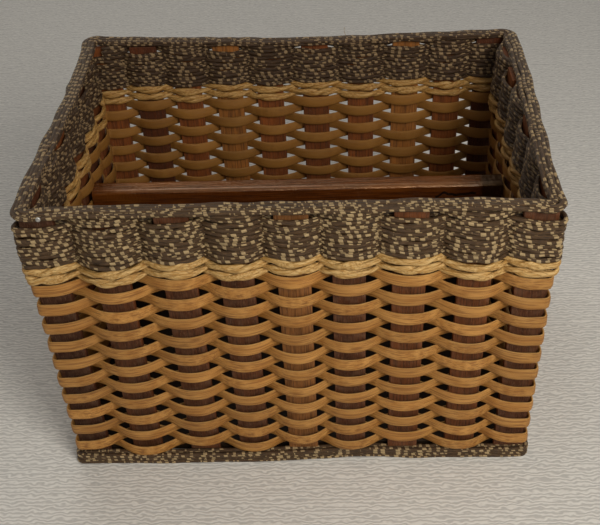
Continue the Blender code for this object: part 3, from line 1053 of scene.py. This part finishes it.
def makeBand(settings):
    seed = settings["seed"]
    swings = makeSwings(settings)
    pitch = (settings["bandTop"] - settings["bandBottom"]) / settings["turns"]
    turnsBelow = spiral["rows"] + ropeSettings["turns"]
    begin = turnsBelow * around
    jitter = np.random.RandomState(seed + 1).uniform(-1, 1, around * (settings["turns"] + 2))
    jitter *= settings["turnSpread"]
    shape = sectionShape(settings["sides"], settings["squareness"])
    perPiece = settings["turns"] // settings["pieces"]

    def level(count):
        turn, share = climbed(count)
        height = settings["bandBottom"] + pitch * (turn + share - turnsBelow + 0.5)
        return min(height, settings["bandTop"] - pitch / 2)

    def swingAt(count):
        done = (count - begin) / around / settings["turns"]
        return swings[count % around] * between(1, settings["topSwing"], done) + jitter[count - begin]

    for part in range(settings["pieces"]):
        start = begin + part * perPiece * around
        end = start + perPiece * around
        centre, marks, middle = weavePath(start, end, swingAt, level, settings)
        out, _ = axesAlong(centre)
        loose = between(settings["pressedWobble"], 1, middle)
        centre[:, 2] += wander(marks, seed + 2 + part, *settings["levelWobble"]) * loose
        centre += out * (wander(marks, seed + 12 + part, *settings["outWobble"]) * loose)[:, None]
        rise = 1 - (1 - middle) ** settings["riseSharpness"]
        halfHeight = between(settings["pressedHeight"], settings["height"], rise) / 2
        halfDepth = between(settings["pressedDepth"], settings["depth"], middle) / 2
        swell = 1 + wander(marks, seed + 22 + part, *settings["sizeWobble"])
        tone = wanderingTone(marks, seed + 32 + part, *settings["toneWobble"])
        strand = sweepStrand(centre, halfDepth * swell, halfHeight * swell, shape, 0.0, tone)
        piece = buildStrands(f"dark_twine_{part + 1}", [strand], twineMaterial)
        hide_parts("dark_twine_band")


makeBand(twineSettings)
print("dark band wound")


# The single course above the band, which leaves windows at every other stake
courseSettings = {
    "depth": 0.0034,
    "height": 0.0036,
    "turns": ((0.26260, 0.0072), (0.26580, 0.0072), (0.26830, 0.0050)),  # level and swing
    "cornerReach": 0.0060,
    "step": 0.0022,
    "sides": 8,
    "squareness": 0.9,
    "levelWobble": (0.06, 0.00022),
    "outWobble": (0.045, 0.00035),
    "sizeWobble": (0.02, 0.07),
    "toneWobble": (0.3, 0.3),
    "pinch": (0.55, 0.75),
    "seed": 83,
}


def makeCourse(settings):
    start = around + spiral["climbFrom"]
    shape = sectionShape(settings["sides"], settings["squareness"])
    strands = []
    for number, (height, swing) in enumerate(settings["turns"]):
        seed = settings["seed"] + number
        centre, marks, _ = weavePath(start, start + around - 1, lambda count: swing, lambda count: height,
                                     settings)
        centre[:, 2] += wander(marks, seed, *settings["levelWobble"])
        out, _ = axesAlong(centre)
        centre += out * wander(marks, seed + 2, *settings["outWobble"])[:, None]
        swell = 1 + wander(marks, seed + 4, *settings["sizeWobble"])
        tone = wanderingTone(marks, seed + 6, *settings["toneWobble"])
        wide, tall = settings["depth"] / 2 * swell, settings["height"] / 2 * swell
        strands.append(sweepStrand(centre, wide, tall, shape, 0.0, tone, pinch=settings["pinch"]))
    piece = buildStrands("top_course_twine", strands, twineMaterial)
    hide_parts("top_twine_course")


makeCourse(courseSettings)
print("top course laid")


# Rim and foot, strands that run round side by side. A strand reads: how far out, level
rimSettings = {
    "halfX": 0.1940,
    "halfY": 0.1364,
    "radius": 0.0058,
    "strands": ((-0.0036, 0.27110), (-0.0004, 0.27155), (0.0026, 0.27130), (0.0052, 0.27020),
                (-0.0037, 0.26895), (0.0000, 0.26890), (0.0042, 0.26935)),
    # Marks along a wall, and how far the strands lie further out and further down there
    "sway": {"front": ((-0.19, -0.15, 0.14, 0.19), (0, 0, 0, 0), (0.0012, 0, 0, 0.0028)),
             "right": ((-0.137, -0.09, -0.03, 0.05, 0.10, 0.137),
                       (-0.0014, -0.0016, 0.0012, 0.0050, 0.0060, 0.0040), (0.0028, 0, 0, 0, 0, 0)),
             "back": ((-0.19, -0.13, -0.07, -0.02, 0.06, 0.10, 0.19),
                      (0.0030, 0.0006, -0.0030, -0.0042, -0.0042, -0.0040, -0.0026),
                      (-0.0014, -0.0004, 0, 0.0014, 0.0014, 0.0004, 0)),
             "left": ((-0.137, -0.11, -0.05, 0.04, 0.10, 0.137),
                      (-0.0010, 0.0010, -0.0010, -0.0038, -0.0016, -0.0016), (0.0012, 0, 0, 0, 0, -0.0014))},
    "depth": 0.0040,
    "height": 0.0034,
    "wobble": 0.00045,
    "cornerBulge": 0.0022,
    "seed": 500,
}
footSettings = {
    "halfX": 0.1989,
    "halfY": 0.1414,
    "radius": 0.0048,
    "strands": ((0.0002, 0.00195), (-0.0003, 0.00545), (0.0000, 0.00905), (-0.0040, 0.00900),
                (-0.0046, 0.00540)),
    "sway": {"front": ((-0.19, -0.14, -0.03, 0.01, 0.04, 0.07, 0.10),
                       (0.0030, 0.0038, 0.0032, 0.0010, -0.0008, -0.0012, 0.0008), (0,) * 7)},
    "depth": 0.0046,
    "height": 0.0039,
    "wobble": 0.00030,
    "cornerBulge": 0.0,
    "seed": 600,
    "floor": 0.0,  # the first strand lies on it
}
borderSettings = {
    "step": 0.0024,
    "sides": 8,
    "squareness": 0.9,
    "leastRadius": 0.0016,
    "quarterSteps": 9,
    "bulgeReach": 0.011,
    "sideWobble": 1.3,  # times the wobble
    "sizeWobble": 0.07,
    "toneWobble": 0.3,
    "swayNear": 0.85,  # a wall's sway starts at this share of its distance from the middle
    "outFade": 0.15,  # and is at its full size this much further out
    "dropFade": 0.10,
}


def roundedLoop(halfX, halfY, radius):
    points = []
    for quarter, (sx, sy) in enumerate(((-1, -1), (1, -1), (1, 1), (-1, 1))):
        for share in np.linspace(0, 1, borderSettings["quarterSteps"]):
            turn = math.pi + (quarter + share) * math.pi / 2
            points.append((sx * (halfX - radius) + radius * math.cos(turn),
                           sy * (halfY - radius) + radius * math.sin(turn)))
    return np.array(points)


def swayed(path, settings):
    # Moves each wall out and down by a distance that changes along it
    x, y = path[:, 0].copy(), path[:, 1].copy()
    drop = np.zeros(len(path))
    for wall, (marks, outs, downs) in settings["sway"].items():
        along = wallDirections[wall]
        normal = (along[1], -along[0])
        place, edge = (y, settings["halfX"]) if normal[0] else (x, settings["halfY"])
        near = (x * normal[0] + y * normal[1]) / edge - borderSettings["swayNear"]
        shift = np.interp(place, marks, outs) * (near / borderSettings["outFade"]).clip(0, 1)
        path[:, 0] += normal[0] * shift
        path[:, 1] += normal[1] * shift
        fall = np.interp(place, marks, downs) * (near / borderSettings["dropFade"]).clip(0, 1)
        drop = np.where(np.abs(fall) > np.abs(drop), fall, drop)
    path[:, 2] -= drop
    return path


def closedWobble(share, chance):
    # Five waves, 9 to 41 of each round the loop, so that its ends meet
    waves = chance.randint(9, 42, 5)
    return sum(np.sin(2 * math.pi * (wave * share + chance.rand())) / 3 for wave in waves)


def makeBorder(name, node, settings):
    shape = sectionShape(borderSettings["sides"], borderSettings["squareness"])
    strands = []
    for number, (shift, height) in enumerate(settings["strands"]):
        radius = max(settings["radius"] + shift, borderSettings["leastRadius"])
        loop = roundedLoop(settings["halfX"] + shift, settings["halfY"] + shift, radius)
        loop = np.column_stack((loop, np.full(len(loop), height)))
        path = swayed(evenly(loop, borderSettings["step"], closed=True)[:-1], settings)
        share = np.arange(len(path)) / len(path)
        chance = np.random.RandomState(settings["seed"] + number)
        side, lift, swell = (closedWobble(share, chance) for _ in range(3))
        out, _ = axesAlong(path, closed=True)
        far = np.hypot(np.abs(path[:, 0]) - settings["halfX"], np.abs(path[:, 1]) - settings["halfY"])
        bulge = settings["cornerBulge"] * np.exp(-(far / borderSettings["bulgeReach"]) ** 2)
        path = path + out * (side * settings["wobble"] * borderSettings["sideWobble"] + bulge)[:, None]
        path[:, 2] += lift * settings["wobble"]
        swell = 1 + borderSettings["sizeWobble"] * swell
        wide, tall = settings["depth"] / 2 * swell, settings["height"] / 2 * swell
        if "floor" in settings and number == 0:
            path[:, 2] = settings["floor"] + tall
        tone = (0.5 + borderSettings["toneWobble"] * side).clip(0, 1)
        strands.append(sweepStrand(path, wide, tall, shape, 0.0, tone, closed=True))
    piece = buildStrands(name, strands, twineMaterial)
    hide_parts(node)


makeBorder("rim_twine", "rim_border", rimSettings)
makeBorder("foot_twine", "foot_border", footSettings)
print("borders laid")


# A few frayed ends that stand off the twine: foot, and how far the tip lies from it
fibreSettings = {
    "radius": 0.00016,
    "ends": (((0.0480, 0.1340, 0.2720), (-0.0010, 0.0030, 0.0075)),
             ((-0.1190, -0.1440, 0.2560), (0.0050, -0.0030, 0.0020)),
             ((0.0720, -0.1470, 0.2310), (0.0060, -0.0025, -0.0030)),
             ((0.1560, -0.1455, 0.2390), (-0.0050, -0.0030, 0.0030)),
             ((-0.1930, 0.0350, 0.2700), (-0.0040, 0.0040, 0.0020)),
             ((-0.0420, -0.1455, 0.2210), (0.0055, -0.0030, -0.0020))),
    "bend": (0.0008, 0.0, -0.0006),
    "points": 9,
    "sides": 5,
    "pinch": (0.55, 0.75),
}


def makeLooseFibres(settings):
    shape = sectionShape(settings["sides"])
    share = np.linspace(0, 1, settings["points"])[:, None]
    strands = []
    for number, (foot, reach) in enumerate(settings["ends"]):
        bend = np.sin(share * math.pi) * np.array(settings["bend"]) * (1 if number % 2 else -1)
        line = np.array(foot) + np.array(reach) * share + bend
        strands.append(sweepStrand(line, settings["radius"], settings["radius"], shape, 0.0,
                                   number / len(settings["ends"]), pinch=settings["pinch"]))
    piece = buildStrands("loose_fibres", strands, ropeMaterial)


makeLooseFibres(fibreSettings)


# One small nail holds the rim near its left front corner
nailSettings = {
    "place": (-0.1779, -0.1450, 0.2706),
    "radius": 0.0019,
    "thickness": 0.0016,
    "sides": 28,
    "easing": 0.0007,
    "rimWidth": 0.0005,
    "crown": 0.0002,  # the middle stands this far proud
    "frontDepth": 0.0001,  # faces this near the front are its front
    "smoothAngle": 40,  # degrees
}


def makeNail(settings):
    bpy.ops.object.select_all(action="DESELECT")
    bpy.ops.mesh.primitive_cylinder_add(vertices=settings["sides"], radius=settings["radius"],
                                        depth=settings["thickness"], location=settings["place"],
                                        rotation=(math.pi / 2, 0, 0))
    head = bpy.context.active_object
    head.name = "rim_nail_head"
    bpy.ops.object.transform_apply(location=True, rotation=True, scale=True)
    front = min(face.center.y for face in head.data.polygons)
    for face in head.data.polygons:
        face.select = face.center.y < front + settings["frontDepth"]
    bpy.ops.object.mode_set(mode="EDIT")
    bpy.ops.mesh.inset(thickness=settings["rimWidth"])
    bpy.ops.transform.translate(value=(0, -settings["crown"], 0))
    bpy.ops.object.mode_set(mode="OBJECT")
    bevel = head.modifiers.new("easing", "BEVEL")
    bevel.width = settings["easing"]
    bevel.segments = 3
    bpy.ops.object.modifier_apply(modifier="easing")
    bpy.ops.object.shade_smooth_by_angle(angle=math.radians(settings["smoothAngle"]))
    head.data.materials.append(steelMaterial)
    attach(head, "root")


makeNail(nailSettings)
print("loose fibres and nail added")


# Stakes, base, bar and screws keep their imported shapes, with eased edges and wood
stakeTones = {
    "front": ("deep", "dusty", "dusty", "dusty", "orange", "dusty", "red", "red", "dusty"),
    "right": ("dusty", "red", "dusty", "deep", "red", "dusty"),
    "back": ("deep", "red", "orange", "red", "dusty", "red", "orange", "red", "deep", "red"),
    "left": ("red", "deep", "dusty", "red", "orange", "deep"),
}
easingSettings = {
    "width": 0.0007,
    "segments": 2,
    "angle": 50,  # degrees
    "weld": 0.00001,
    "leftSharp": ("right_stake_4", "left_stake_3"),  # bored for the bar's screws, where a bevel would tear
}


def easeEdges(node, settings):
    weld = node.modifiers.new("weld", "WELD")
    weld.merge_threshold = settings["weld"]
    bevel = node.modifiers.new("easedEdges", "BEVEL")
    bevel.width = settings["width"]
    bevel.segments = settings["segments"]
    bevel.limit_method = "ANGLE"
    bevel.angle_limit = math.radians(settings["angle"])


def dress(name, material):
    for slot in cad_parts[name].material_slots:
        slot.material = material


for wall, tones in stakeTones.items():
    for number, tone in enumerate(tones):
        name = f"{wall}_stake_{number + 1}"
        dress(name, stakeMaterials[tone])
        if name not in easingSettings["leftSharp"]:
            easeEdges(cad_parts[name], easingSettings)

for name, material in (("base_panel", shadedBaseMaterial), ("cross_bar", barMaterial),
                       ("left_bar_screw", steelMaterial), ("right_bar_screw", steelMaterial)):
    dress(name, material)
print("wooden pieces dressed")


# Floor and light
floorSettings = {
    "size": 12.0,
    "low": (0.58, 0.565, 0.54),
    "high": (0.82, 0.80, 0.76),
    "ripple": 0.0038,
    "sway": 2.2,
    "swayScale": (110.0, 160.0, 1.0),
    "bump": (0.30, 0.0006),
}


def makeFloor(settings):
    material, tree, shader = newMaterial("paleFloor", roughness=0.80)
    place = objectPlace(tree)
    sway = speckle(tree, stretch(tree, place, settings["swayScale"]), detail=1.0)
    line = add(tree, calculate(tree, "DIVIDE", split(tree, place)[1], settings["ripple"]),
               multiply(tree, sway, settings["sway"]))
    wave = calculate(tree, "SINE", multiply(tree, line, 2 * math.pi))
    shade = remap(tree, wave, -1.0, 1.0)
    feedShader(tree, shader, mixColour(tree, shade, settings["low"], settings["high"]), shade, {}, settings)
    bpy.ops.object.select_all(action="DESELECT")
    bpy.ops.mesh.primitive_plane_add(size=settings["size"], location=(0, 0, 0))
    floor = bpy.context.active_object
    floor.name = "pale_floor"
    floor.data.materials.append(material)


lampSettings = {
    "key": {"place": (0.47, -0.76, 0.86), "size": 0.42, "power": 7.0, "colour": (1.0, 0.95, 0.86)},
    "fill": {"place": (0.40, -1.90, 0.90), "size": 1.30, "power": 6.6, "colour": (1.0, 0.96, 0.90)},
    "back": {"place": (-0.40, 0.95, 1.80), "size": 0.80, "power": 6.0, "colour": (1.0, 0.97, 0.92)},
}
lampTarget = Vector((0, 0, 0.12))


def makeLamp(name, settings):
    data = bpy.data.lights.new(name, "AREA")
    data.shape = "SQUARE"
    data.size = settings["size"]
    data.energy = settings["power"]
    data.color = settings["colour"]
    lamp = bpy.data.objects.new(name, data)
    lamp.location = settings["place"]
    aim = lampTarget - Vector(settings["place"])
    lamp.rotation_euler = aim.to_track_quat("-Z", "Y").to_euler()
    scene.collection.objects.link(lamp)


worldSettings = {
    "light": (1.0, 0.96, 0.90),
    "strength": 0.155,
    "backdrop": (0.62, 0.61, 0.56),  # what the camera and shiny pieces see
}


def makeWorld(settings):
    world = bpy.data.worlds.new("studio")
    world.use_nodes = True
    tree = world.node_tree
    tree.nodes.clear()
    light = addNode(tree, "Background", {"Color": (*settings["light"], 1), "Strength": settings["strength"]})
    backdrop = addNode(tree, "Background", {"Color": (*settings["backdrop"], 1), "Strength": 1.0})
    rays = addNode(tree, "LightPath").outputs
    seenBy = calculate(tree, "MAXIMUM", rays["Is Camera Ray"], rays["Is Glossy Ray"])
    seenBy = calculate(tree, "MAXIMUM", seenBy, rays["Is Transmission Ray"])
    mix = addNode(tree, "MixShader", {0: seenBy})
    out = addNode(tree, "OutputWorld")
    for source, socket in ((light, mix.inputs[1]), (backdrop, mix.inputs[2]), (mix, out.inputs[0])):
        tree.links.new(source.outputs[0], socket)
    scene.world = world


makeFloor(floorSettings)
for lampName, values in lampSettings.items():
    makeLamp(lampName, values)
makeWorld(worldSettings)
print("stage lit")

bpy.context.view_layer.update()
